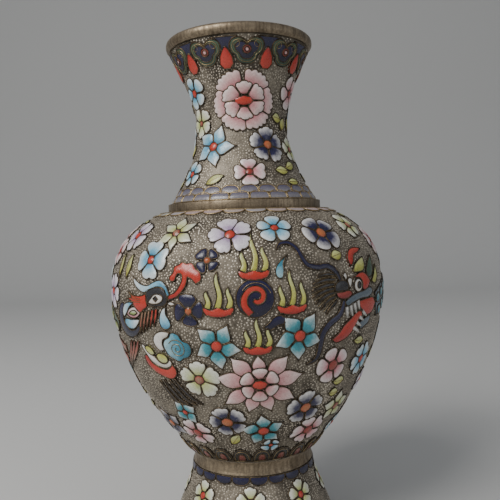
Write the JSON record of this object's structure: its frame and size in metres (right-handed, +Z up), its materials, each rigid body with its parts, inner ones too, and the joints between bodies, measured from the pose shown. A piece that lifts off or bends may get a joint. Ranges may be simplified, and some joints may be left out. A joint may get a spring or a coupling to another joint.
{
  "type": "vase",
  "caption": "Free-standing cloisonne vase with a flared neck, round belly, waist collar and flared hollow foot.",
  "frame": {"origin": "centre of the ring face that the vase stands on", "axes": "+Z up along the vase's axis; -Y towards the front, the side with the flaming pearl; +X to the right of the front"},
  "size_m": [0.194, 0.1946, 0.3585],
  "materials": {
    "brass_rings": "worn brass with fine upright scratches",
    "gilt_ground": "tarnished gilt, finely stippled between the wires",
    "enamel_navy": "domed glossy glass enamel, paler at the tips, inside gilt wire",
    "enamel_green": "domed glossy glass enamel, paler at the tips, inside gilt wire",
    "enamel_pink": "domed glossy glass enamel, paler at the tips, inside gilt wire",
    "enamel_red": "domed glossy glass enamel, paler at the tips, inside gilt wire",
    "enamel_sky": "domed glossy glass enamel, paler at the tips, inside gilt wire",
    "enamel_cream": "domed glossy glass enamel, paler at the tips, inside gilt wire",
    "enamel_lilac": "domed glossy glass enamel, paler at the tips, inside gilt wire",
    "enamel_turquoise": "domed glossy glass enamel, paler at the tips, inside gilt wire",
    "enamel_leaf": "domed glossy glass enamel, paler at the tips, inside gilt wire",
    "enamel_ivory": "domed glossy glass enamel, paler at the tips, inside gilt wire",
    "enamel_slate": "domed glossy glass enamel, paler at the tips, inside gilt wire",
    "enamel_black": "domed glossy glass enamel, paler at the tips, inside gilt wire",
    "enamel_maroon": "domed glossy glass enamel, paler at the tips, inside gilt wire"
  },
  "bodies": {
    "root": {"mouth_ring": "brass_rings", "neck_shell": "gilt_ground", "shoulder_collar": "brass_rings", "body_shell": "gilt_ground", "floor_cup": "gilt_ground", "waist_collar": "brass_rings", "foot_shell": "gilt_ground", "foot_ring": "brass_rings", "ruyi_ground": "enamel_navy", "ruyi_clouds": "enamel_green", "ruyi_hearts": "enamel_navy", "ruyi_pearls": "enamel_pink", "red_drops": "enamel_red", "neck_peony_petals": "enamel_pink", "neck_sky_petals": "enamel_sky", "neck_cream_petals": "enamel_cream", "neck_navy_petals": "enamel_navy", "neck_pink_petals": "enamel_pink", "neck_blossom_hearts": "enamel_red", "neck_leaves": "enamel_leaf", "neck_scales": "enamel_slate", "shoulder_lappets": "enamel_lilac", "body_sky_petals": "enamel_sky", "body_cream_petals": "enamel_cream", "body_lilac_petals": "enamel_lilac", "body_navy_petals": "enamel_navy", "body_pink_petals": "enamel_pink", "body_turquoise_petals": "enamel_turquoise", "body_blossom_hearts": "enamel_red", "body_leaves": "enamel_leaf", "lotus_petals": "enamel_pink", "pearl_disc": "enamel_navy", "pearl_swirl": "enamel_red", "flame_bases": "enamel_red", "flame_tongues": "enamel_leaf", "red_fungus": "enamel_red", "cloud_crests": "enamel_ivory", "cloud_curls": "enamel_turquoise", "teal_drops": "enamel_turquoise", "phoenix_crest": "enamel_sky", "phoenix_face": "enamel_red", "phoenix_eye": "enamel_ivory", "phoenix_beak": "enamel_sky", "phoenix_beard": "enamel_maroon", "phoenix_scales": "enamel_leaf", "phoenix_plumes": "enamel_red", "dark_plumes": "enamel_black", "dragon_whiskers": "enamel_navy", "dragon_nose": "enamel_black", "dragon_ivory": "enamel_ivory", "dragon_eye": "enamel_ivory", "dragon_flesh": "enamel_red", "dragon_jaws": "enamel_slate", "dragon_scales": "enamel_turquoise", "lower_lappets": "enamel_maroon", "foot_scallops": "enamel_navy", "foot_blossom_petals": "enamel_ivory", "foot_blossom_hearts": "enamel_red"}
  },
  "joints": []
}
